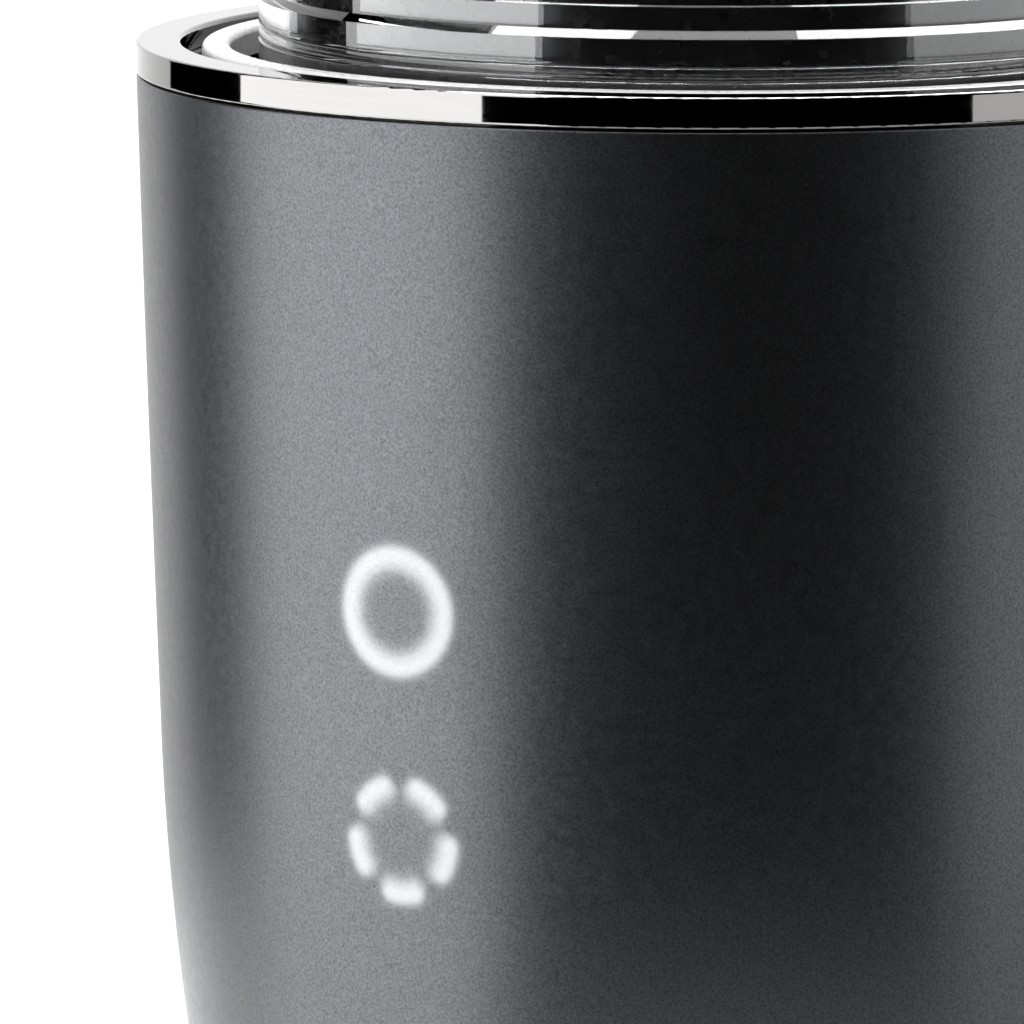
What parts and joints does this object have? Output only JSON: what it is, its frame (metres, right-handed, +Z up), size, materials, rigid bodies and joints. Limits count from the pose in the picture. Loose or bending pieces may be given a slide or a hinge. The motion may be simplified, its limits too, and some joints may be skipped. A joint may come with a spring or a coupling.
{
  "type": "countertop blender",
  "caption": "Single-serve countertop blender: tapered charcoal motor base with lit touch rings, bright trim ring and a clear twist-lock cup standing mouth down in its dock.",
  "frame": {"origin": "on the table under the axis of the base and cup", "axes": "+Z up along the axis, controls face -Y, cord leaves towards +Y"},
  "size_m": [0.135, 0.135, 0.402],
  "materials": {
    "charcoal_paint": "satin, fine metallic grain",
    "chrome_trim": "polished dark chrome",
    "lit_lens": "translucent, lit from behind",
    "black_gloss": "polished",
    "pale_dock": "satin",
    "zinc_steel": "plated",
    "black_rubber": "matt",
    "grey_rubber": "satin",
    "black_matte": "fine moulded texture",
    "black_nylon": "moulded",
    "holder_black": "moulded, semi-gloss",
    "white_nylon": "moulded",
    "green_board": "solder mask",
    "laminated_steel": "stacked sheets",
    "copper_wire": "enamelled winding wire",
    "copper_bars": "turned copper",
    "brass_parts": "drawn",
    "bronze_bush": "sintered",
    "bearing_steel": "ground",
    "spring_steel": "drawn wire",
    "blade_steel": "stamped and ground",
    "cast_alloy": "die cast",
    "carbon": "pressed carbon",
    "clear_cup": "clear copolyester"
  },
  "bodies": {
    "base": {"outer_shell": "charcoal_paint", "trim_ring": "chrome_trim", "start_ring_lens": "lit_lens", "pulse_ring_lens": "lit_lens", "dock_body": "black_gloss", "dock_ring": "pale_dock", "dock_screws": "zinc_steel", "shaft_seal": "black_rubber", "spring_caps": "black_matte", "base_plate": "black_matte", "rubber_feet": "black_rubber", "base_screws": "zinc_steel", "cord_grommet": "black_rubber", "cord_clamp": "black_matte", "clamp_screws": "zinc_steel", "touch_board": "green_board", "touch_board_screws": "zinc_steel", "control_board": "green_board", "interlock_switch": "black_matte", "switch_bracket": "black_matte", "stator_core": "laminated_steel", "field_coils": "copper_wire", "upper_bearing": "bearing_steel", "lower_bearing": "bearing_steel", "upper_bracket": "cast_alloy", "lower_bracket": "cast_alloy", "through_bolts": "zinc_steel", "motor_mounts": "black_rubber", "mount_screws": "zinc_steel", "brush_holders": "brass_parts", "carbon_brushes": "carbon", "brush_springs": "spring_steel", "fan_duct": "black_matte", "plunger_spring_1": "spring_steel", "plunger_spring_2": "spring_steel", "plunger_spring_3": "spring_steel"},
    "rotor": {"motor_shaft": "bearing_steel", "armature_core": "laminated_steel", "armature_windings": "copper_wire", "commutator": "copper_bars", "cooling_fan": "white_nylon", "drive_coupling": "black_nylon"},
    "blade_unit": {"blade_holder": "holder_black", "cup_gasket": "grey_rubber", "blade_bush": "bronze_bush", "blade_seal": "black_rubber"},
    "cup": {"cup": "clear_cup"},
    "blades": {"blade_shaft": "bearing_steel", "lower_blade": "blade_steel", "upper_blade": "blade_steel", "blade_nut": "blade_steel", "driven_coupling": "black_nylon", "thrust_washer": "blade_steel"},
    "plunger_1": {"plunger_1": "white_nylon"},
    "plunger_2": {"plunger_2": "white_nylon"},
    "plunger_3": {"plunger_3": "white_nylon"}
  },
  "joints": [
    {"name": "motor_spin", "type": "hinge", "parent": "base", "child": "rotor", "pos_m": [0, 0, 0.1], "axis": [0, 0, 1], "continuous": true},
    {"name": "jar_lift", "type": "slide", "parent": "base", "child": "blade_unit", "axis": [0, 0, 1], "range_m": [0, 0.09]},
    {"name": "cup_twist", "type": "hinge", "parent": "blade_unit", "child": "cup", "pos_m": [0, 0, 0.2], "axis": [0, 0, 1], "range_deg": [-25, 0]},
    {"name": "blade_spin", "type": "hinge", "parent": "blade_unit", "child": "blades", "pos_m": [0, 0, 0.18], "axis": [0, 0, 1], "continuous": true},
    {"name": "plunger_1_press", "type": "slide", "parent": "base", "child": "plunger_1", "axis": [0, 0, 1], "range_m": [-0.0025, 0], "stiffness_N_per_m": 150, "deforming": ["plunger_spring_1"]},
    {"name": "plunger_2_press", "type": "slide", "parent": "base", "child": "plunger_2", "axis": [0, 0, 1], "range_m": [-0.0025, 0], "stiffness_N_per_m": 150, "deforming": ["plunger_spring_2"]},
    {"name": "plunger_3_press", "type": "slide", "parent": "base", "child": "plunger_3", "axis": [0, 0, 1], "range_m": [-0.0025, 0], "stiffness_N_per_m": 150, "deforming": ["plunger_spring_3"]}
  ],
  "couplings": [
    {"joint": "blade_spin", "follows": "motor_spin", "ratio": 1},
    {"joint": "plunger_1_press", "follows": "cup_twist", "m_per_rad": 0.005729},
    {"joint": "plunger_2_press", "follows": "cup_twist", "m_per_rad": 0.005729},
    {"joint": "plunger_3_press", "follows": "cup_twist", "m_per_rad": 0.005729}
  ]
}
